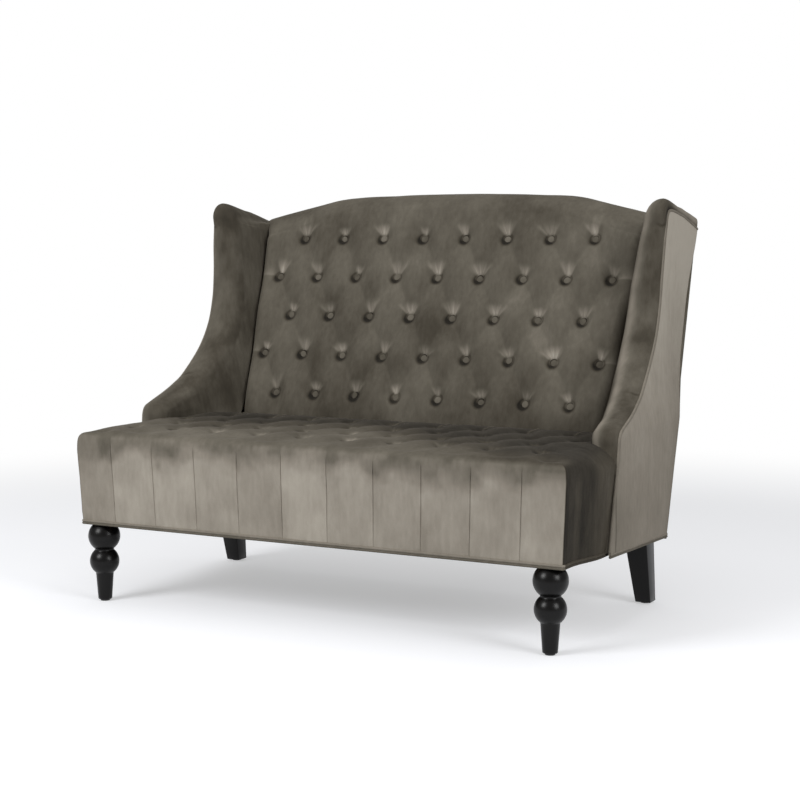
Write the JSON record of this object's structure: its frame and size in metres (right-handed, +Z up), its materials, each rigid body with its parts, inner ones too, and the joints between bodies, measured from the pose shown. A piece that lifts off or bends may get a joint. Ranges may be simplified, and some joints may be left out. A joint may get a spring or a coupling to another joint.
{
  "type": "loveseat",
  "caption": "Upholstered loveseat with diamond-tufted back and seat, camel-back crest, scooped wing sides, pleated front, turned front legs and splayed square rear legs.",
  "frame": {"origin": "middle of the bounding box on the floor", "axes": "+X to the right as seen from the front, along the loveseat's width; -Y is the front; +Y points to the back; +Z up"},
  "size_m": [1.276, 0.8636, 0.978],
  "materials": {
    "velvet": "brushed taupe-grey velvet",
    "leg_wood": "near-black satin stain",
    "frame_wood": "sawn, unfinished",
    "plywood": "unfinished plywood",
    "foam": "open-cell cushion foam",
    "webbing": "woven strap",
    "deck_cloth": "plain woven cloth",
    "black_cloth": "thin non-woven cloth",
    "bolt_steel": "zinc plated",
    "glide_plastic": "matte"
  },
  "bodies": {
    "root": {"back_buttons": "velvet", "back_centre_stile": "frame_wood", "back_cover": "velvet", "back_foam": "foam", "back_lower_rail": "frame_wood", "back_top_rail": "frame_wood", "back_webbing": "webbing", "corner_blocks": "frame_wood", "dust_cover": "black_cloth", "front_seat_rail": "frame_wood", "left_back_post": "frame_wood", "left_front_leg": "leg_wood", "left_outer_panel": "velvet", "left_rear_leg": "leg_wood", "left_seat_rail": "frame_wood", "left_seat_side_cover": "velvet", "left_side_hem_welt": "velvet", "left_wing_cover": "velvet", "left_wing_frame": "plywood", "left_wing_padding": "foam", "left_wing_welt": "velvet", "leg_bolts": "bolt_steel", "leg_glides": "glide_plastic", "outside_back": "velvet", "rear_hem_welt": "velvet", "rear_seat_rail": "frame_wood", "right_back_post": "frame_wood", "right_front_leg": "leg_wood", "right_outer_panel": "velvet", "right_rear_leg": "leg_wood", "right_seat_rail": "frame_wood", "right_seat_side_cover": "velvet", "right_side_hem_welt": "velvet", "right_wing_cover": "velvet", "right_wing_frame": "plywood", "right_wing_padding": "foam", "right_wing_welt": "velvet", "seat_buttons": "velvet", "seat_cover": "velvet", "seat_cross_rails": "frame_wood", "seat_deck_cloth": "deck_cloth", "seat_foam": "foam", "seat_webbing_cross": "webbing", "seat_webbing_long": "webbing", "seat_welt": "velvet"}
  },
  "joints": []
}
